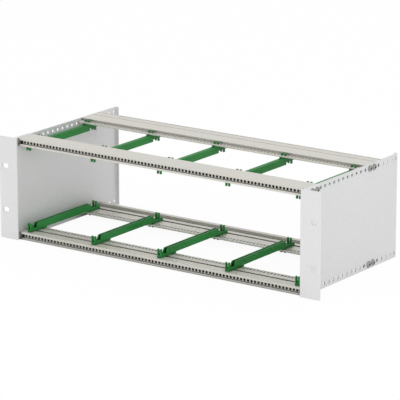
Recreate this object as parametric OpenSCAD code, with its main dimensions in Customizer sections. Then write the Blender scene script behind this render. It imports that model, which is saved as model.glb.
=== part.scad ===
// Subrack card cage: two side panels with rack flanges, four cross rails,
// two threaded strips and ten clip-in card guides.
// X runs along the width, Y from the flanges' front face to the rear, Z up.
// The origin is the centre of the flanges' front face.

/* [Rack flanges] */
// Width over both flanges
rack_w = 482.6; // [470:0.1:500]
// Height of the flanges and of the side panels
rack_h = 132.55; // [130:0.05:133.35]
// Width of a flange, from its outer edge to the opening
flange_w = 27.7; // [24:0.1:30]
// Thickness of a flange's front plate
flange_t = 2.3; // [2:0.1:3]
// Thickness of the leg that lies on the side panel
flange_leg_t = 2.5; // [1.5:0.1:3]
// Depth of that leg behind the front plate
flange_leg_d = 29; // [29:0.5:32]
// Distance from a flange's outer edge to its slots' centres
slot_edge = 8.75; // [8:0.05:12]
// Height between a flange's two slot centres
slot_span_h = 57.15; // [31.75:0.05:88.9]
// Length of a slot, end to end
slot_l = 10.1; // [8:0.1:12]
// Width of a slot
slot_w = 6.8; // [6:0.1:7.2]

/* [Side panels] */
// Width by which a flange stands proud of its panel's inner face
flange_overlap = 2.3; // [1:0.1:3]
// Thickness of the sheet
panel_t = 1.5; // [1.2:0.1:2.3]
// Distance from the flanges' front face to the panels' rear edge
cage_d = 213.3; // [212:0.1:240]
// Width of the return bent inward at the rear edge
return_w = 3.4; // [3:0.1:8]
// Inside radius of that bend
bend_r = 1.2; // [0.5:0.1:2]
// Distance from the panels' top and bottom edges to the rows of holes
row_edge = 5.675; // [5.5:0.005:6]
// Spacing of the holes in a row
row_pitch = 10; // [9:0.5:12]
// Number of holes in a row
row_count = 18; // [14:1:18]
// Diameter of the holes
row_hole_d = 4.3; // [4.2:0.1:5]
// Distance from the flanges' front face to the first hole in a row
row_y = 37.6; // [36:0.1:38]

/* [Screws] */
// Diameter of the screws' shanks
screw_d = 4; // [4:0.5:4]
// Diameter of the screws' heads
screw_head_d = 7.8; // [6.5:0.1:8]
// Height of the heads
screw_head_h = 2.4; // [1.5:0.1:3]
// Depth to which a screw enters its rail
screw_grip = 10; // [6:0.5:20]
// Gap around a shank in its rail, on the radius
thread_gap = 0.05; // [0.02:0.01:0.1]
// Width of the cross recess's arms
recess_w = 1.1; // [0.8:0.1:1.4]
// Length of the cross recess's arms, end to end
recess_l = 4.4; // [3.5:0.1:5]
// Depth of the cross recess
recess_d = 1.4; // [0.8:0.1:1.8]

/* [Front rails] */
// Distance from the flanges' front face to the rails' lips
lip_y = 4.8; // [4:0.1:6]
// Thickness of the lips
lip_t = 2.1; // [1.5:0.1:2.5]
// Height of the rail's box section
front_box_h = 10; // [9.6:0.1:10]
// Distance from the lips to the back of the box section
front_box_d = 26.8; // [26:0.1:28]
// Height of the gap between the lips
lip_gap = 4.8; // [4:0.1:5.5]
// Distance from the panels' top and bottom edges to the rows of threaded holes
thread_row_edge = 5.025; // [5:0.005:5.4]
// Distance from the flanges' front face to the front screw in each end
front_screw_y = 16; // [15:0.1:17]
// Width of the open channel between the two screw bores
channel_w = 4.4; // [3:0.1:4.6]
// Depth of the open channel
channel_d = 7.4; // [5:0.1:8]
// Depth of the groove behind the strip that takes the ends of screws
relief_d = 3.1; // [2:0.1:3.4]
// Height of that groove
relief_h = 5; // [4:0.1:5.4]
// Depth of the ledge behind the box section
ledge_d = 8.9; // [7:0.1:10]

/* [Rear rails] */
// Distance from the flanges' front face to the rear rails' front edge
rear_rail_y = 128.3; // [127:0.1:129]
// Distance from the flanges' front face to the step up from the top rail's ledge
step_y = 137.8; // [137:0.1:139]
// Distance from the flanges' front face to the front of the bore section
boss_y = 143.3; // [143:0.1:144]
// Depth of the bore section
boss_d = 19; // [18:0.1:20]
// Height of the bore section below the screws' line
boss_drop = 3.6; // [3.5:0.1:4.5]
// Width of the channel behind the bore section
rear_channel_w = 8; // [6:0.1:9]
// Depth of the ridge at the rear
ridge_d = 6.5; // [5:0.1:8]
// Height of the ridge above the seat plate
ridge_h = 1.75; // [1:0.05:1.75]
// Width of the two score lines along the top rail's face
score_w = 0.9; // [0.5:0.1:1.2]
// Depth of the score lines
score_d = 0.7; // [0.3:0.1:1]
// Depth of the lip behind the ridge
rear_lip_d = 3.2; // [2:0.1:5]
// Thickness of the rails' thin walls
wall_t = 1.6; // [1.4:0.1:1.8]

/* [Seats for the card guides] */
// Height of the bottom rails' seat plates above their screws' line
seat_rise = 3.9; // [3.8:0.1:4]
// Depth of the top rails' ledges below their flat faces
ledge_drop = 2.75; // [2:0.05:3]
// Thickness of the seat plates
seat_t = 1.8; // [1.6:0.1:2]
// Distance between neighbouring slots in a row
pitch = 5.08; // [5:0.01:5.2]
// Least distance from a panel to the end of a row of slots
row_end_room = 7; // [7:0.5:12]
// Distance from the flanges' front face to the front row of pin slots
front_pin_y = 35.2; // [35:0.1:36]
// Distance from the flanges' front face to the rear row of pin slots
rear_pin_y = 133; // [132:0.1:135]
// Length of a pin slot
pin_slot_l = 5.2; // [4.5:0.1:5.6]
// Width of a pin slot
pin_slot_w = 3.2; // [3.1:0.1:3.4]

/* [Threaded strips] */
// Thickness of a strip
strip_t = 2.5; // [2:0.1:3]
// Height of a strip
strip_h = 7.6; // [6.5:0.1:7.6]
// Gap around a strip in its channel
strip_gap = 0.15; // [0.1:0.05:0.2]
// Diameter of the threaded holes
thread_d = 3.4; // [2.5:0.1:3.6]

/* [Card guides] */
// Width of a guide
guide_w = 6; // [5:0.1:6.4]
// Width of the groove for the board's edge
groove_w = 2; // [1.7:0.1:2.4]
// Height of the groove's floor above the seat
groove_z = 3.6; // [3:0.1:4]
// Height of the guide above its seat
guide_h = 10.2; // [9:0.1:11]
// Height of the underside of the guide's long beam above its seat
beam_z = 1.6; // [1:0.1:2]
// Distance from the flanges' front face to the guide's nose
nose_y = 10.2; // [9:0.1:12]
// Distance from the flanges' front face to the start of the grooved walls
wall_y = 22.3; // [21:0.1:24]
// Length over which the groove narrows behind that start
lead_in = 6; // [4:0.5:9]
// Height of the slope at the front of the walls
slope_h = 2.4; // [1:0.1:4]
// Distance from the flanges' front face to the end of the grooved walls
wall_end_y = 134.2; // [133.5:0.1:136]
// Thickness of the end arms that lie on the bottom rails
arm_t = 4; // [3:0.1:5]
// Thickness of the end arms that pass under the top rails
thin_arm_t = 2.4; // [2:0.1:3]
// Distance from the flanges' front face to the guide's tail
tail_y = 154.3; // [154:0.1:154.5]
// Diameter of the pins
pin_d = 3; // [2.8:0.1:3]
// Length of the pins
pin_l = 4.4; // [3:0.1:4.4]
// Height of the upright prongs above the seat
prong_z = 11.4; // [10.5:0.1:12]
// Depth of a prong, along the guide
prong_d = 2.6; // [2:0.1:3]
// Width of a prong
prong_w = 1.8; // [1.4:0.1:2]
// Distance from the flanges' front face to the rear prongs
rear_prong_y = 146.8; // [146:0.1:148]
// Depth to which the tail's hook drops into the bottom rear rail
hook_drop = 0.9; // [0.5:0.1:1.5]
// Clear gap between a guide's arms and the rails they pass
arm_gap = 0.15; // [0.1:0.05:0.3]

/* [Hidden] */
guide_places = [for (n = [-2:2]) n];
$fn = 48;
eps = 0.01;
opening_w = rack_w - 2 * flange_w;
inner_w = opening_w + 2 * flange_overlap;
slot_span_w = rack_w - 2 * slot_edge;
row_z = rack_h / 2 - row_edge;
thread_row_z = rack_h / 2 - thread_row_edge;
pitch_count = 2 * floor((inner_w / 2 - row_end_room) / pitch);
guide_step = floor(pitch_count / 4);
panel_x = inner_w / 2;
panel_out_x = panel_x + panel_t;
flange_in_x = opening_w / 2;
leg_out_x = panel_out_x + flange_leg_t;
bore_d = screw_d + 2 * thread_gap;
front_screws = [front_screw_y, front_screw_y + row_pitch];
rear_screws = [row_y + 11 * row_pitch, row_y + 12 * row_pitch];
front_back_y = lip_y + front_box_d;
top_face = thread_row_z + front_box_h / 2;
seat_top = top_face - ledge_drop - seat_t;
seat_bottom = -row_z + seat_rise;
ridge_y = boss_y + boss_d + rear_channel_w;
rear_end_y = ridge_y + ridge_d + rear_lip_d;
pitch_span = pitch * pitch_count;
panel_colour = [0.85, 0.85, 0.85];
flange_colour = [0.88, 0.88, 0.88];
rail_colour = [0.83, 0.82, 0.78];
strip_colour = [0.76, 0.75, 0.71];
guide_colour = [0.27, 0.50, 0.30];
screw_colour = [0.62, 0.62, 0.60];

// A rectangle given by its two corners, in the plane of a rail's section.
module box2(y0, z0, y1, z1) {
    translate([y0, z0]) square([y1 - y0, z1 - z0]);
}

// Stretches a section drawn in Y and Z along X, centred on the cage.
module along_x(length) {
    rotate([90, 0, 90])
        translate([0, 0, -length / 2])
            linear_extrude(length) children();
}

// A flat slot with round ends, centred, its length along the first axis.
module slot2(length, width) {
    square([length - width, width], center = true);
    for (side = [-1, 1])
        translate([side * (length - width) / 2, 0]) circle(d = width);
}

// The two screw bores in a rail's end, as seen in its section.
module bores2(places, z) {
    for (y = places)
        translate([y, z]) circle(d = bore_d);
}

// A row of pin slots through a seat plate whose upper face is at z.
module pin_slot_row(y, z) {
    for (i = [0:pitch_count - 1])
        translate([(i - (pitch_count - 1) / 2) * pitch, y, z - seat_t - eps])
            rotate([0, 0, 90])
                linear_extrude(seat_t + 2 * eps) slot2(pin_slot_l, pin_slot_w);
}

// Side panel for the right; mirrored for the left.
module side_panel() {
    color(panel_colour)
        difference() {
            union() {
                translate([panel_x, flange_t, -rack_h / 2])
                    cube([panel_t, cage_d - flange_t - bend_r - panel_t, rack_h]);
                panel_return();
            }
            for (z = [-row_z, row_z])
                for (i = [0:row_count - 1])
                    panel_hole(row_y + i * row_pitch, z);
            for (z = [-row_z, row_z])
                for (y = front_screws)
                    panel_hole(y, z);
        }
}

// The rear edge bent inward through a quarter turn.
module panel_return() {
    bend_x = panel_x - bend_r;
    bend_y = cage_d - panel_t - bend_r;
    translate([0, 0, -rack_h / 2])
        linear_extrude(rack_h) {
            translate([panel_x - return_w, cage_d - panel_t])
                square([return_w - bend_r, panel_t]);
            intersection() {
                translate([bend_x, bend_y])
                    difference() {
                        circle(r = bend_r + panel_t);
                        circle(r = bend_r);
                    }
                translate([bend_x, bend_y]) square(bend_r + panel_t);
            }
        }
}

// A round hole through panel and flange leg.
module panel_hole(y, z) {
    translate([panel_x - eps, y, z])
        rotate([0, 90, 0])
            cylinder(d = row_hole_d, h = panel_t + flange_leg_t + 2 * eps);
}

// Rack flange for the right: a front plate with two slots and a side leg.
module rack_flange() {
    color(flange_colour)
        difference() {
            translate([0, 0, -rack_h / 2])
                linear_extrude(rack_h)
                    difference() {
                        union() {
                            translate([flange_in_x, 0])
                                square([rack_w / 2 - flange_in_x, flange_t]);
                            translate([panel_out_x, 0])
                                square([flange_leg_t, flange_t + flange_leg_d]);
                        }
                        translate([flange_in_x - eps, flange_t])
                            square([panel_out_x - flange_in_x + eps, cage_d]);
                    }
            for (z = [-slot_span_h / 2, slot_span_h / 2])
                translate([slot_span_w / 2, -eps, z])
                    rotate([-90, 0, 0])
                        linear_extrude(flange_t + 2 * eps) slot2(slot_l, slot_w);
            for (z = [-row_z, row_z])
                for (y = front_screws)
                    panel_hole(y, z);
        }
}

// Section of a front rail: side is 1 for the top rail and -1 for the bottom one.
// The channel opens toward the cage's middle; the ledge carries the guides.
module front_rail_section(side) {
    row = side * thread_row_z;
    inner = row - side * front_box_h / 2;
    seat = side > 0 ? seat_top : seat_bottom - seat_t;
    channel_y = (front_screws[0] + front_screws[1] - channel_w) / 2;
    difference() {
        union() {
            box2(lip_y, row - front_box_h / 2, front_back_y, row + front_box_h / 2);
            box2(front_back_y - wall_t, seat, front_back_y + ledge_d, seat + seat_t);
        }
        box2(lip_y - eps, row - lip_gap / 2, lip_y + lip_t + eps, row + lip_gap / 2);
        strip_channel(row);
        box2(lip_y + lip_t, row - relief_h / 2,
            lip_y + lip_t + strip_t + strip_gap + relief_d, row + relief_h / 2);
        bores2(front_screws, side * row_z);
        box2(channel_y, min(inner - side * eps, inner + side * channel_d),
            channel_y + channel_w, max(inner - side * eps, inner + side * channel_d));
    }
}

// The wider part of the front channel, behind the lips, that holds the strip.
module strip_channel(row) {
    half = strip_h / 2 + strip_gap;
    box2(lip_y + lip_t, row - half, lip_y + lip_t + strip_t + strip_gap, row + half);
}

module front_rail(side) {
    seat_face = side > 0 ? seat_top + seat_t : seat_bottom;
    color(rail_colour)
        difference() {
            along_x(inner_w) front_rail_section(side);
            pin_slot_row(front_pin_y, seat_face);
        }
}

// Section of the top rear rail: a ledge with a step up to a flat face, which is
// flush with the front rail's; the bores and the open channels lie beneath it.
module rear_top_section() {
    base = row_z - boss_drop;
    channel_y = (rear_screws[0] + rear_screws[1] - channel_w) / 2;
    back_y = ridge_y + ridge_d;
    difference() {
        union() {
            box2(rear_rail_y, seat_top, step_y + wall_t, seat_top + seat_t);
            box2(step_y, seat_top, step_y + wall_t, top_face);
            box2(step_y, top_face - seat_t, back_y, top_face);
            box2(boss_y, base, boss_y + boss_d, top_face);
            box2(ridge_y, base, back_y, top_face);
        }
        bores2(rear_screws, row_z);
        box2(channel_y, base - eps, channel_y + channel_w, top_face - seat_t);
        box2(ridge_y + wall_t, base + wall_t, back_y - wall_t, top_face - seat_t);
        for (y = [boss_y + boss_d - score_w, back_y - ridge_d / 2])
            box2(y - score_w / 2, top_face - score_d, y + score_w / 2, top_face + eps);
    }
}

// Section of the bottom rear rail: the same rail with its channels open upward.
module rear_bottom_section() {
    face = -row_z + seat_rise;
    base = -row_z - boss_drop;
    channel_y = (rear_screws[0] + rear_screws[1] - channel_w) / 2;
    difference() {
        union() {
            box2(rear_rail_y, face - seat_t, boss_y + eps, face);
            box2(boss_y, base, boss_y + boss_d, face);
            box2(boss_y, base, rear_end_y, base + wall_t);
            box2(ridge_y, base, ridge_y + ridge_d, face + ridge_h);
        }
        bores2(rear_screws, -row_z);
        box2(channel_y, base + wall_t, channel_y + channel_w, face + eps);
        box2(ridge_y + wall_t, base + wall_t, ridge_y + ridge_d - wall_t, face + ridge_h - wall_t);
    }
}

module rear_rail(side) {
    face = side > 0 ? seat_top + seat_t : seat_bottom;
    color(rail_colour)
        difference() {
            along_x(inner_w) {
                if (side > 0) rear_top_section();
                if (side < 0) rear_bottom_section();
            }
            pin_slot_row(rear_pin_y, face);
        }
}

// Flat bar with one threaded hole at each slot position.
module thread_strip(side) {
    color(strip_colour)
        difference() {
            translate([-pitch_span / 2, lip_y + lip_t, side * thread_row_z - strip_h / 2])
                cube([pitch_span, strip_t, strip_h]);
            for (i = [0:pitch_count - 1])
                translate([(i - (pitch_count - 1) / 2) * pitch, lip_y + lip_t - eps, side * thread_row_z])
                    rotate([-90, 0, 0]) cylinder(d = thread_d, h = strip_t + 2 * eps, $fn = 24);
        }
}

// A block of the guide, centred on it, between two depths and two heights.
module guide_block(y0, y1, z0, z1, width = guide_w) {
    translate([-width / 2, y0, z0]) cube([width, y1 - y0, z1 - z0]);
}

// Card guide standing on z = 0; nose_z and tail_z are the undersides of its two
// end arms, which clear the rails' box sections, and arm is their thickness.
module card_guide(nose_z, tail_z, arm, hooked) {
    foot_front = front_back_y + arm_gap;
    foot_rear = boss_y - arm_gap;
    ledge_end = front_back_y + ledge_d;
    color(guide_colour)
        difference() {
            union() {
                guide_block(nose_y, foot_front + eps, nose_z, nose_z + arm);
                guide_block(foot_front, ledge_end + 2, 0, groove_z + 1);
                guide_walls(nose_z);
                guide_block(rear_rail_y - 1, foot_rear, 0, groove_z + 1);
                guide_block(wall_end_y - 1, foot_rear, 0, tail_z + arm);
                guide_block(foot_rear - eps, tail_y, tail_z, tail_z + arm);
                guide_prongs(nose_y, nose_z);
                guide_prongs(rear_prong_y - prong_d / 2, tail_z);
                if (hooked) guide_block(tail_y - 3, tail_y, -hook_drop, beam_z);
                guide_pins(front_pin_y);
                guide_pins(rear_pin_y);
            }
            guide_groove();
            guide_block(rear_rail_y - 6, rear_rail_y - 3, beam_z - eps, groove_z + eps, groove_w);
        }
}

// The long grooved beam, sloped at its front upper corner; start_z is its
// underside where it passes the front rail.
module guide_walls(start_z) {
    translate([-guide_w / 2, 0, 0])
        rotate([90, 0, 90])
            linear_extrude(guide_w)
                polygon([
                    [wall_y, start_z],
                    [front_back_y + arm_gap, start_z],
                    [front_back_y + arm_gap, beam_z],
                    [wall_end_y, beam_z],
                    [wall_end_y, guide_h],
                    [wall_y + slope_h, guide_h],
                    [wall_y, guide_h - slope_h]
                ]);
}

// Pair of round pins that press through two neighbouring slots of a seat.
module guide_pins(y) {
    for (side = [-1, 1])
        translate([side * pitch / 2, y, -pin_l])
            cylinder(d = pin_d, h = pin_l + beam_z);
}

// Pair of upright prongs beside the groove.
module guide_prongs(y, z) {
    for (side = [-1, 1])
        translate([side * (guide_w - prong_w) / 2 - prong_w / 2, y, z])
            cube([prong_w, prong_d, prong_z - z]);
}

// Groove for the board's edge, widened toward the nose and open at both ends.
module guide_groove() {
    mouth = guide_w - prong_w;
    translate([0, 0, groove_z])
        linear_extrude(prong_z)
            polygon([
                [-groove_w / 2, nose_y - eps],
                [groove_w / 2, nose_y - eps],
                [groove_w / 2, wall_y - 1],
                [mouth / 2, wall_y - 1],
                [groove_w / 2, wall_y + lead_in],
                [groove_w / 2, tail_y + 1],
                [-groove_w / 2, tail_y + 1],
                [-groove_w / 2, wall_y + lead_in],
                [-mouth / 2, wall_y - 1],
                [-groove_w / 2, wall_y - 1]
            ]);
}

// Guide on the bottom rails, number n counted from the middle of the cage.
module bottom_guide(n) {
    nose_z = front_box_h / 2 - thread_row_z - seat_bottom + arm_gap;
    translate([n * guide_step * pitch, 0, seat_bottom])
        card_guide(nose_z, 0, arm_t, true);
}

// Guide under the top rails, turned over.
module top_guide(n) {
    nose_z = seat_top - thread_row_z + front_box_h / 2 + arm_gap;
    tail_z = seat_top - row_z + boss_drop + arm_gap;
    translate([n * guide_step * pitch, 0, seat_top])
        mirror([0, 0, 1]) card_guide(nose_z, tail_z, thin_arm_t, false);
}

// Pan-head screw with a cross recess; the head's seat is at x = 0, shank toward -X.
module screw(length) {
    edge_h = screw_head_h * 0.45;
    dome_r = (pow(screw_head_d / 2, 2) + pow(screw_head_h - edge_h, 2)) / (2 * (screw_head_h - edge_h));
    rotate([0, 90, 0])
        difference() {
            union() {
                cylinder(d = screw_head_d, h = edge_h);
                translate([0, 0, edge_h]) screw_dome(dome_r, screw_head_h - edge_h);
                translate([0, 0, -length]) cylinder(d = screw_d, h = length + eps);
            }
            for (turn = [0, 90])
                rotate([0, 0, turn])
                    translate([-recess_l / 2, -recess_w / 2, screw_head_h - recess_d])
                        cube([recess_l, recess_w, recess_d + 1]);
        }
}

// Shallow dome of radius r and height h, standing on z = 0.
module screw_dome(r, h) {
    rotate_extrude()
        intersection() {
            translate([0, h - r]) circle(r = r, $fn = 96);
            square([screw_head_d / 2, h]);
        }
}

// The four screws of one panel's front or rear pair of rails.
module screw_group(places, seat_x) {
    color(screw_colour)
        for (z = [-row_z, row_z])
            for (y = places)
                translate([seat_x, y, z])
                    screw(seat_x - panel_x + screw_grip);
}

mirror([1, 0, 0]) side_panel();  // left_side_panel
side_panel();  // right_side_panel
mirror([1, 0, 0]) rack_flange();  // left_rack_flange
rack_flange();  // right_rack_flange
front_rail(1);  // front_top_rail
front_rail(-1);  // front_bottom_rail
rear_rail(1);  // rear_top_rail
rear_rail(-1);  // rear_bottom_rail
thread_strip(1);  // front_top_thread_strip
thread_strip(-1);  // front_bottom_thread_strip
for (n = guide_places)
    top_guide(n);
for (n = guide_places)
    bottom_guide(n);
mirror([1, 0, 0]) screw_group(front_screws, leg_out_x);  // left_front_screws
screw_group(front_screws, leg_out_x);  // right_front_screws
mirror([1, 0, 0]) screw_group(rear_screws, panel_out_x);  // left_rear_screws
screw_group(rear_screws, panel_out_x);  // right_rear_screws
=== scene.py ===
import bpy
import math
from mathutils import Matrix, Vector


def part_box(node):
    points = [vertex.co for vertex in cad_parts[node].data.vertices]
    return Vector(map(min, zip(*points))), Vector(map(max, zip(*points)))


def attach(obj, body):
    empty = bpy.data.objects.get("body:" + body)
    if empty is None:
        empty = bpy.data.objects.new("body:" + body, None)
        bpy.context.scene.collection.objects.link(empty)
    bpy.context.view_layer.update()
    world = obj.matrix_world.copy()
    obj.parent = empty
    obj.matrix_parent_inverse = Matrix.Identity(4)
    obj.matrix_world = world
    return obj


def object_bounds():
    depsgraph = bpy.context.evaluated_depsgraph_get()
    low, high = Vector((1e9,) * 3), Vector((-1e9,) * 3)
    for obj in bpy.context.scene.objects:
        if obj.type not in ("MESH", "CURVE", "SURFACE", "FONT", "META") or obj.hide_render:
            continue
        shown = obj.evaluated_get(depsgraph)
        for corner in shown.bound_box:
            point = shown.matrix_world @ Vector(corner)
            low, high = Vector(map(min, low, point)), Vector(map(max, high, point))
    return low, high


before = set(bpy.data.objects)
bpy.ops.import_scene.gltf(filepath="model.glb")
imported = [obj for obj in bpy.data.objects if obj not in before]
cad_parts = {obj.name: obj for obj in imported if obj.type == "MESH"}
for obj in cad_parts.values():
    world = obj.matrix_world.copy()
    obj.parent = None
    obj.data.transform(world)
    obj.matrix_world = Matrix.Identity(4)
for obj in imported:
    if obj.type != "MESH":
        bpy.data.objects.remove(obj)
cad_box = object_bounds()
MM = 0.001


# The view is from the front right and a little above, through a long lens,
# far enough away that the cage's long edges stay nearly parallel.
CAMERA_PLACE = Vector((2.0179, -2.7639, 0.9436))
CAMERA_TURN = math.radians(35.192)
CAMERA_RISE = math.radians(15.110)
LENS_LENGTH = 261.3
SENSOR_WIDTH = 36
FAR_CLIP = 50

camera_data = bpy.data.cameras.new("studio_camera")
camera_data.lens = LENS_LENGTH
camera_data.sensor_width = SENSOR_WIDTH
camera_data.clip_end = FAR_CLIP
camera = bpy.data.objects.new("studio_camera", camera_data)
backward = Vector((
    math.sin(CAMERA_TURN) * math.cos(CAMERA_RISE),
    -math.cos(CAMERA_TURN) * math.cos(CAMERA_RISE),
    math.sin(CAMERA_RISE),
))
rightward = Vector((math.cos(CAMERA_TURN), math.sin(CAMERA_TURN), 0))
upward = backward.cross(rightward)
camera_facing = Matrix((rightward, upward, backward)).transposed().to_4x4()
camera.matrix_world = Matrix.Translation(CAMERA_PLACE) @ camera_facing
bpy.context.collection.objects.link(camera)
bpy.context.scene.camera = camera
bpy.context.scene.view_settings.view_transform = "Standard"


# The studio is a white room: an even white surround, one broad lamp at the
# right and weaker ones over the front and above, all large and soft.
WORLD_LIGHT = 0.89
CAGE_MIDDLE = Vector((0, 0.1, 0))
FLOOR_HALF = 6
FLOOR_TONE = 0.95
FLOOR_GLOW_SHARE = 0.94


def shading(tree, kind, inputs=None, **settings):
    """A new shader node with its settings made and its sockets filled or joined."""
    node = tree.nodes.new("ShaderNode" + kind)
    for name, value in settings.items():
        setattr(node, name, value)
    for name, value in (inputs or {}).items():
        if isinstance(value, bpy.types.NodeSocket):
            tree.links.new(value, node.inputs[name])
        else:
            node.inputs[name].default_value = value
    return node


world = bpy.data.worlds.new("white_room")
world.use_nodes = True
world.node_tree.nodes.clear()
seen = shading(world.node_tree, "LightPath")
surround = shading(world.node_tree, "Background", {"Color": (1, 1, 1, 1), "Strength": WORLD_LIGHT})
white = shading(world.node_tree, "Background", {"Color": (1, 1, 1, 1), "Strength": 1})
pick = shading(world.node_tree, "MixShader", {"Fac": seen.outputs["Is Camera Ray"]})
world.node_tree.links.new(surround.outputs["Background"], pick.inputs[1])
world.node_tree.links.new(white.outputs["Background"], pick.inputs[2])
shading(world.node_tree, "OutputWorld", {"Surface": pick.outputs["Shader"]})
bpy.context.scene.world = world


def soft_lamp(name, place, size, watts):
    """A square area lamp that faces the middle of the cage."""
    data = bpy.data.lights.new(name, "AREA")
    data.shape = "SQUARE"
    data.size = size
    data.energy = watts
    lamp = bpy.data.objects.new(name, data)
    lamp.location = place
    lamp.rotation_euler = (CAGE_MIDDLE - Vector(place)).to_track_quat("-Z", "Y").to_euler()
    bpy.context.collection.objects.link(lamp)


soft_lamp("front_lamp", (-0.5, -2.4, 1.5), 1.8, 2)
soft_lamp("right_lamp", (2.1, -1.3, 0.8), 1.6, 12)
soft_lamp("top_lamp", (0.1, 0.3, 2.4), 1.6, 4)

floor_mesh = bpy.data.meshes.new("studio_floor")
floor_level = cad_box[0][2]
floor_mesh.from_pydata([
    (-FLOOR_HALF, -FLOOR_HALF, floor_level),
    (FLOOR_HALF, -FLOOR_HALF, floor_level),
    (FLOOR_HALF, FLOOR_HALF, floor_level),
    (-FLOOR_HALF, FLOOR_HALF, floor_level),
], [], [(0, 1, 2, 3)])
studio_floor = bpy.data.objects.new("studio_floor", floor_mesh)
bpy.context.collection.objects.link(studio_floor)
floor_paint = bpy.data.materials.new("white_floor")
floor_paint.use_nodes = True
floor_tree = floor_paint.node_tree
floor_tree.nodes.clear()
floor_seen = shading(floor_tree, "LightPath")
floor_share = shading(floor_tree, "Math", {
    0: floor_seen.outputs["Is Camera Ray"],
    1: FLOOR_GLOW_SHARE,
}, operation="MULTIPLY")
floor_matt = shading(floor_tree, "BsdfDiffuse", {"Color": (FLOOR_TONE, FLOOR_TONE, FLOOR_TONE, 1)})
floor_glow = shading(floor_tree, "Emission", {"Color": (1, 1, 1, 1), "Strength": 1})
floor_mix = shading(floor_tree, "MixShader", {"Fac": floor_share.outputs[0]})
floor_tree.links.new(floor_matt.outputs[0], floor_mix.inputs[1])
floor_tree.links.new(floor_glow.outputs[0], floor_mix.inputs[2])
shading(floor_tree, "OutputMaterial", {"Surface": floor_mix.outputs[0]})
floor_mesh.materials.append(floor_paint)


# Side panels: thin aluminium sheet, sheared, punched and folded once at the rear,
# then satin anodised, so that a fine grain runs along the sheet's length.
PANEL_TONE = (0.70, 0.70, 0.70)
PANEL_EDGE_HIGHLIGHT_TONE = (0.80, 0.80, 0.80)
SHEET_EDGE_RADIUS = 0.4 * MM


def new_finish(name, colour, roughness, metallic):
    """A material with a plain shader; gives its tree, its shader and its object coordinates."""
    finish = bpy.data.materials.new(name)
    finish.use_nodes = True
    tree = finish.node_tree
    shader = tree.nodes["Principled BSDF"]
    shader.inputs["Base Color"].default_value = (*colour, 1)
    shader.inputs["Roughness"].default_value = roughness
    shader.inputs["Metallic"].default_value = metallic
    place = shading(tree, "TexCoord").outputs["Object"]
    return finish, tree, shader, place


def mottle(tree, place, stretch, scale, low, high, detail=4):
    """Noise stretched along an axis, brought to run from low to high."""
    mapped = shading(tree, "Mapping", {"Vector": place, "Scale": stretch})
    noise = shading(tree, "TexNoise", {"Vector": mapped.outputs[0], "Scale": scale, "Detail": detail})
    return shading(tree, "MapRange", {
        "Value": noise.outputs["Fac"],
        "From Min": 0.3,
        "From Max": 0.7,
        "To Min": low,
        "To Max": high,
    }).outputs["Result"]


def edge_wear(tree, radius):
    """Rounded normal, and a share that is 0 on open faces and rises to 1 on a sharp edge, used for a
    painted edge highlight.
    """
    rounded = shading(tree, "Bevel", {"Radius": radius}, samples=4)
    flat = shading(tree, "NewGeometry").outputs["True Normal"]
    match = shading(tree, "VectorMath", {0: rounded.outputs[0], 1: flat}, operation="DOT_PRODUCT")
    mask = shading(tree, "MapRange", {
        "Value": match.outputs["Value"],
        "From Min": 0.995,
        "From Max": 0.75,
        "To Min": 0,
        "To Max": 1,
    })
    return rounded.outputs[0], mask.outputs["Result"]


def two_tones(tree, share, first, second):
    """A colour between two tones, by share."""
    mix = shading(tree, "Mix", {"Factor": share}, data_type="RGBA")
    mix.inputs["A"].default_value = (*first, 1)
    mix.inputs["B"].default_value = (*second, 1)
    return mix.outputs["Result"]


def dress(finish, *nodes):
    """Gives CAD nodes their finish."""
    for name in nodes:
        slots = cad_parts[name].data.materials
        slots.clear()
        slots.append(finish)


panel_finish, tree, shader, place = new_finish("satin_anodised_sheet", PANEL_TONE, 0.5, 0.35)
rolled = mottle(tree, place, (3, 1, 12), 160, 0.0, 1.0)
cloud = mottle(tree, place, (1, 1, 1), 14, 0.0, 1.0, 2)
rounded, edge_highlight_share = edge_wear(tree, SHEET_EDGE_RADIUS)
grain = two_tones(tree, rolled, (0.675, 0.675, 0.680), (0.725, 0.725, 0.725))
clouded = shading(tree, "Mix", {
    "Factor": cloud,
    "A": grain,
}, data_type="RGBA", blend_type="MULTIPLY")
clouded.inputs["B"].default_value = (0.985, 0.985, 0.99, 1)
# Painted highlight: a lighter tone is mixed onto the panels' edges.
edged = shading(tree, "Mix", {"Factor": edge_highlight_share, "A": clouded.outputs["Result"]}, data_type="RGBA")
edged.inputs["B"].default_value = (*PANEL_EDGE_HIGHLIGHT_TONE, 1)
tree.links.new(edged.outputs["Result"], shader.inputs["Base Color"])
tree.links.new(mottle(tree, place, (1, 1, 8), 220, 0.42, 0.58), shader.inputs["Roughness"])
blasted = shading(tree, "TexNoise", {"Vector": place, "Scale": 2600, "Detail": 2})
relief = shading(tree, "Bump", {
    "Height": blasted.outputs["Fac"],
    "Normal": rounded,
    "Strength": 0.12,
    "Distance": 0.05 * MM,
})
tree.links.new(relief.outputs[0], shader.inputs["Normal"])
dress(panel_finish, "left_side_panel", "right_side_panel")


# Rack flanges: extruded aluminium angles, anodised a shade lighter than the
# panels, with fine lines along their height from the die.
FLANGE_EDGE_RADIUS = 0.4 * MM

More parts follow.
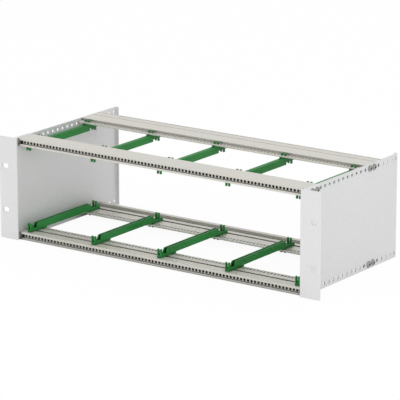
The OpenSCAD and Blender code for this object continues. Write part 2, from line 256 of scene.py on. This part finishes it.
flange_finish, tree, shader, place = new_finish("satin_anodised_flange", (0.76, 0.76, 0.76), 0.45, 0.35)
drawn = mottle(tree, place, (14, 14, 1), 130, 0.0, 1.0)
rounded, edge_highlight_share = edge_wear(tree, FLANGE_EDGE_RADIUS)
lined = two_tones(tree, drawn, (0.74, 0.74, 0.745), (0.785, 0.785, 0.785))
# Painted highlight: a lighter tone is mixed onto the flanges' edges.
edged = shading(tree, "Mix", {"Factor": edge_highlight_share, "A": lined}, data_type="RGBA")
edged.inputs["B"].default_value = (0.86, 0.86, 0.86, 1)
tree.links.new(edged.outputs["Result"], shader.inputs["Base Color"])
tree.links.new(mottle(tree, place, (12, 12, 1), 90, 0.38, 0.52), shader.inputs["Roughness"])
relief = shading(tree, "Bump", {
    "Height": drawn,
    "Normal": rounded,
    "Strength": 0.08,
    "Distance": 0.04 * MM,
})
tree.links.new(relief.outputs[0], shader.inputs["Normal"])
dress(flange_finish, "left_rack_flange", "right_rack_flange")


# Cross rails: aluminium extrusions, cut to length and passivated, which leaves a
# warm tint; die lines run along their whole length.
RAIL_EDGE_RADIUS = 0.35 * MM
RAIL_SHADE_REACH = 8 * MM


def grimed(tree, colour, reach, low):
    """Colour times a share that falls to low deep in a groove or a corner: painted shade, read from ambient
    occlusion.
    """
    depth = shading(tree, "AmbientOcclusion", {"Distance": reach}, samples=6)
    share = shading(tree, "MapRange", {
        "Value": depth.outputs["AO"],
        "From Min": 0.25,
        "From Max": 0.8,
        "To Min": low,
        "To Max": 1,
    })
    grey = shading(tree, "CombineColor", {
        "Red": share.outputs["Result"],
        "Green": share.outputs["Result"],
        "Blue": share.outputs["Result"],
    })
    mix = shading(tree, "Mix", {
        "Factor": 1,
        "A": colour,
        "B": grey.outputs[0],
    }, data_type="RGBA", blend_type="MULTIPLY")
    return mix.outputs["Result"]


rail_finish, tree, shader, place = new_finish("passivated_extrusion", (0.66, 0.65, 0.60), 0.42, 0.45)
die_lines = mottle(tree, place, (0.6, 22, 22), 120, 0.0, 1.0)
tint = mottle(tree, place, (0.5, 3, 3), 12, 0.0, 1.0, 2)
rounded, edge_highlight_share = edge_wear(tree, RAIL_EDGE_RADIUS)
warm = two_tones(tree, die_lines, (0.625, 0.61, 0.56), (0.70, 0.69, 0.65))
toned = shading(tree, "Mix", {
    "Factor": tint,
    "A": warm,
}, data_type="RGBA", blend_type="MULTIPLY")
toned.inputs["B"].default_value = (1.0, 0.985, 0.95, 1)
# Painted highlight: a lighter tone is mixed onto the rails' edges.
edged = shading(tree, "Mix", {"Factor": edge_highlight_share, "A": toned.outputs["Result"]}, data_type="RGBA")
edged.inputs["B"].default_value = (0.80, 0.79, 0.76, 1)
# Painted shade: the rails' colour is darkened in grooves, recesses and corners.
tree.links.new(grimed(tree, edged.outputs["Result"], RAIL_SHADE_REACH, 0.1), shader.inputs["Base Color"])
tree.links.new(mottle(tree, place, (0.6, 16, 16), 90, 0.34, 0.5), shader.inputs["Roughness"])
relief = shading(tree, "Bump", {
    "Height": die_lines,
    "Normal": rounded,
    "Strength": 0.1,
    "Distance": 0.05 * MM,
})
tree.links.new(relief.outputs[0], shader.inputs["Normal"])
dress(rail_finish, "front_top_rail", "front_bottom_rail", "rear_top_rail", "rear_bottom_rail")


# Threaded strips: zinc-plated steel bars slid into the front rails' channels,
# drilled and tapped at every slot position.
STRIP_HOLES = 82
HOLE_PITCH = 5.08 * MM
HOLE_RADIUS = 1.7 * MM
THREAD_RISE = 0.7 * MM
THREAD_CREST = 0.13 * MM
THREAD_END_GAP = 0.05 * MM
STRIP_EDGE_RADIUS = 0.2 * MM
STRIP_SHADE_REACH = 2.5 * MM

strip_finish, tree, shader, place = new_finish("zinc_plated_strip", (0.62, 0.61, 0.56), 0.38, 0.8)
spangle = mottle(tree, place, (1, 1, 1), 900, 0.0, 1.0, 2)
rounded = edge_wear(tree, STRIP_EDGE_RADIUS)[0]
plated = two_tones(tree, spangle, (0.58, 0.57, 0.52), (0.66, 0.65, 0.60))
# Painted shade: the strips' colour is darkened in the holes and under the rail lips.
tree.links.new(grimed(tree, plated, STRIP_SHADE_REACH, 0.1), shader.inputs["Base Color"])
tree.links.new(mottle(tree, place, (1, 6, 6), 300, 0.3, 0.48), shader.inputs["Roughness"])
tree.links.new(rounded, shader.inputs["Normal"])
dress(strip_finish, "front_top_thread_strip", "front_bottom_thread_strip")

# Painted shade: the threads are coloured near black, standing for the shade deep in the tapped holes.
shaded_thread_finish, tree, shader, place = new_finish("thread_painted_shade", (0.03, 0.025, 0.02), 0.5, 0.2)
swarf = mottle(tree, place, (1, 1, 1), 1800, 0.0, 1.0, 2)
thread_shade_tones = two_tones(tree, swarf, (0.018, 0.014, 0.010), (0.06, 0.048, 0.036))
tree.links.new(thread_shade_tones, shader.inputs["Base Color"])


def growing(tree, kind, inputs=None, **settings):
    """A new geometry node with its settings made and its sockets filled or joined."""
    node = tree.nodes.new(kind)
    for name, value in settings.items():
        setattr(node, name, value)
    for name, value in (inputs or {}).items():
        if isinstance(value, bpy.types.NodeSocket):
            tree.links.new(value, node.inputs[name])
        else:
            node.inputs[name].default_value = value
    return node


def new_growth(name, sizes):
    """A geometry tree with the named sizes as its inputs."""
    tree = bpy.data.node_groups.new(name, "GeometryNodeTree")
    tree.interface.new_socket("Geometry", in_out="OUTPUT", socket_type="NodeSocketGeometry")
    for size, kind in sizes.items():
        tree.interface.new_socket(size, in_out="INPUT", socket_type="NodeSocket" + kind)
    source = tree.nodes.new("NodeGroupInput")
    return tree, source.outputs


def finish_growth(tree, shape, material):
    """Ends a geometry tree: instances made real, material set."""
    real = growing(tree, "GeometryNodeRealizeInstances", {"Geometry": shape})
    coated = growing(tree, "GeometryNodeSetMaterial", {
        "Geometry": real.outputs[0],
        "Material": material,
    })
    result = tree.nodes.new("NodeGroupOutput")
    tree.links.new(coated.outputs[0], result.inputs[0])


def grow(name, tree, values):
    """Runs a geometry tree once and keeps its result as a plain piece on the cage."""
    seed = bpy.data.objects.new(name + "_seed", bpy.data.meshes.new(name + "_seed"))
    bpy.context.collection.objects.link(seed)
    modifier = seed.modifiers.new("growth", "NODES")
    modifier.node_group = tree
    for socket in tree.interface.items_tree:
        if socket.in_out == "INPUT" and socket.name in values:
            modifier[socket.identifier] = values[socket.name]
    seed.update_tag()
    bpy.context.view_layer.update()
    ready = seed.evaluated_get(bpy.context.evaluated_depsgraph_get())
    mesh = bpy.data.meshes.new_from_object(ready)
    mesh.name = name
    bpy.data.objects.remove(seed)
    piece = bpy.data.objects.new(name, mesh)
    bpy.context.collection.objects.link(piece)
    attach(piece, "root")
    return piece


thread_tree, size = new_growth("tapped_threads", {
    "Count": "Int",
    "Pitch": "Float",
    "Start": "Vector",
    "Radius": "Float",
    "Depth": "Float",
    "Turns": "Float",
    "Material": "Material",
})
step = growing(thread_tree, "ShaderNodeCombineXYZ", {"X": size["Pitch"]})
holes = growing(thread_tree, "GeometryNodeMeshLine", {
    "Count": size["Count"],
    "Start Location": size["Start"],
    "Offset": step.outputs[0],
})
helix = growing(thread_tree, "GeometryNodeCurveSpiral", {
    "Resolution": 14,
    "Rotations": size["Turns"],
    "Start Radius": size["Radius"],
    "End Radius": size["Radius"],
    "Height": size["Depth"],
})
crest = growing(thread_tree, "GeometryNodeCurvePrimitiveCircle", {"Resolution": 3, "Radius": THREAD_CREST})
cut = growing(thread_tree, "GeometryNodeCurveToMesh", {
    "Curve": helix.outputs[0],
    "Profile Curve": crest.outputs[0],
    "Fill Caps": True,
})
tapped = growing(thread_tree, "GeometryNodeInstanceOnPoints", {
    "Points": holes.outputs[0],
    "Instance": cut.outputs[0],
    "Rotation": (math.radians(-90), 0, 0),
})
finish_growth(thread_tree, tapped.outputs[0], size["Material"])

for level in ("top", "bottom"):
    low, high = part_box("front_" + level + "_thread_strip")
    middle = (low[0] + high[0]) / 2
    cut_depth = high[1] - low[1] - 2 * THREAD_END_GAP
    first_hole = middle - (STRIP_HOLES - 1) / 2 * HOLE_PITCH
    grow("strip_threads_" + level, thread_tree, {
        "Count": STRIP_HOLES,
        "Pitch": HOLE_PITCH,
        "Start": (first_hole, low[1] + THREAD_END_GAP, (low[2] + high[2]) / 2),
        "Radius": HOLE_RADIUS,
        "Depth": cut_depth,
        "Turns": cut_depth / THREAD_RISE,
        "Material": shaded_thread_finish,
    })


# Punched holes in the side panels: the punch rolls each hole's rim over a little,
# so a fine rounded ring catches the light round every hole on the outer face.
ROW_HOLES = 18
ROW_PITCH = 10 * MM
RIM_RADIUS = 2.19 * MM
RIM_ROLL = 0.05 * MM
FIRST_HOLE = 37.6 * MM
ROW_LEVEL = 60.6 * MM
SCREWED_HOLES = (11, 12)

rim_tree, size = new_growth("punched_rims", {
    "Count": "Int",
    "Pitch": "Float",
    "Start": "Vector",
    "Gap": "Float",
    "Radius": "Float",
    "Material": "Material",
})
step = growing(rim_tree, "ShaderNodeCombineXYZ", {"Y": size["Pitch"]})
rise = growing(rim_tree, "ShaderNodeCombineXYZ", {"Z": size["Gap"]})
lower_row = growing(rim_tree, "GeometryNodeMeshLine", {
    "Count": size["Count"],
    "Start Location": size["Start"],
    "Offset": step.outputs[0],
})
number = growing(rim_tree, "GeometryNodeInputIndex")
ahead = growing(rim_tree, "FunctionNodeCompare", {
    2: number.outputs[0],
    3: SCREWED_HOLES[0],
}, data_type="INT", operation="LESS_THAN")
behind = growing(rim_tree, "FunctionNodeCompare", {
    2: number.outputs[0],
    3: SCREWED_HOLES[1],
}, data_type="INT", operation="GREATER_THAN")
free = growing(rim_tree, "FunctionNodeBooleanMath", {
    0: ahead.outputs[0],
    1: behind.outputs[0],
}, operation="OR")
circle = growing(rim_tree, "GeometryNodeCurvePrimitiveCircle", {"Resolution": 24, "Radius": size["Radius"]})
roll = growing(rim_tree, "GeometryNodeCurvePrimitiveCircle", {"Resolution": 6, "Radius": RIM_ROLL})
rim = growing(rim_tree, "GeometryNodeCurveToMesh", {
    "Curve": circle.outputs[0],
    "Profile Curve": roll.outputs[0],
})
lower_rims = growing(rim_tree, "GeometryNodeInstanceOnPoints", {
    "Points": lower_row.outputs[0],
    "Selection": free.outputs[0],
    "Instance": rim.outputs[0],
    "Rotation": (0, math.radians(90), 0),
})
upper_rims = growing(rim_tree, "GeometryNodeTransform", {
    "Geometry": lower_rims.outputs[0],
    "Translation": rise.outputs[0],
})
both = growing(rim_tree, "GeometryNodeJoinGeometry")
rim_tree.links.new(lower_rims.outputs[0], both.inputs[0])
rim_tree.links.new(upper_rims.outputs[0], both.inputs[0])
finish_growth(rim_tree, both.outputs[0], size["Material"])

for side, corner in (("left", 0), ("right", 1)):
    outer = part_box(side + "_side_panel")[corner][0]
    grow("hole_rims_" + side, rim_tree, {
        "Count": ROW_HOLES,
        "Pitch": ROW_PITCH,
        "Start": (outer, FIRST_HOLE, -ROW_LEVEL),
        "Gap": 2 * ROW_LEVEL,
        "Radius": RIM_RADIUS,
        "Material": panel_finish,
    })


# Card guides: one-piece mouldings in green plastic, pushed into the rails' slots
# by their round pins; the surface is slightly mottled from the melt's flow.
GUIDES_PER_LEVEL = 5
GUIDE_EDGE_RADIUS = 0.3 * MM
GUIDE_SHADE_REACH = 5 * MM

guide_finish, tree, shader, place = new_finish("green_moulded_plastic", (0.03, 0.19, 0.05), 0.42, 0)
flow = mottle(tree, place, (1, 0.25, 1), 60, 0.0, 1.0, 3)
rounded, edge_highlight_share = edge_wear(tree, GUIDE_EDGE_RADIUS)
green = two_tones(tree, flow, (0.009, 0.170, 0.024), (0.017, 0.230, 0.040))
# Painted highlight: a brighter green is mixed onto the guides' edges.
edged = shading(tree, "Mix", {"Factor": edge_highlight_share, "A": green}, data_type="RGBA")
edged.inputs["B"].default_value = (0.03, 0.30, 0.07, 1)
# Painted shade: the guides' green is darkened in their channel and corners.
tree.links.new(grimed(tree, edged.outputs["Result"], GUIDE_SHADE_REACH, 0.12), shader.inputs["Base Color"])
tree.links.new(mottle(tree, place, (1, 1, 1), 500, 0.40, 0.54), shader.inputs["Roughness"])
shader.inputs["Specular IOR Level"].default_value = 0.3
spark = shading(tree, "TexNoise", {"Vector": place, "Scale": 3200, "Detail": 2})
relief = shading(tree, "Bump", {
    "Height": spark.outputs["Fac"],
    "Normal": rounded,
    "Strength": 0.15,
    "Distance": 0.04 * MM,
})
tree.links.new(relief.outputs[0], shader.inputs["Normal"])
for place_number in range(1, GUIDES_PER_LEVEL + 1):
    for level in ("top", "bottom"):
        dress(guide_finish, "card_guide_" + level + "_" + str(place_number))


# Screws: M4 pan heads with a cross recess, zinc plated, driven through the
# panels into the bores at the rails' ends.
SCREW_EDGE_RADIUS = 0.25 * MM
SCREW_SHADE_REACH = 2 * MM

screw_finish, tree, shader, place = new_finish("zinc_plated_screw", (0.50, 0.50, 0.48), 0.32, 0.9)
turned = mottle(tree, place, (4, 1, 1), 700, 0.0, 1.0, 3)
rounded, edge_highlight_share = edge_wear(tree, SCREW_EDGE_RADIUS)
plated = two_tones(tree, turned, (0.30, 0.30, 0.28), (0.44, 0.44, 0.42))
# Painted highlight: a much lighter tone is mixed onto the screw heads' edges.
edged = shading(tree, "Mix", {"Factor": edge_highlight_share, "A": plated}, data_type="RGBA")
edged.inputs["B"].default_value = (0.74, 0.74, 0.72, 1)
# Painted shade: the screws' colour is darkened in the cross recess and where the head meets the panel.
tree.links.new(grimed(tree, edged.outputs["Result"], SCREW_SHADE_REACH, 0.15), shader.inputs["Base Color"])
tree.links.new(mottle(tree, place, (1, 1, 1), 900, 0.26, 0.42), shader.inputs["Roughness"])
tree.links.new(rounded, shader.inputs["Normal"])
for side in ("left", "right"):
    dress(screw_finish, side + "_front_screws", side + "_rear_screws")
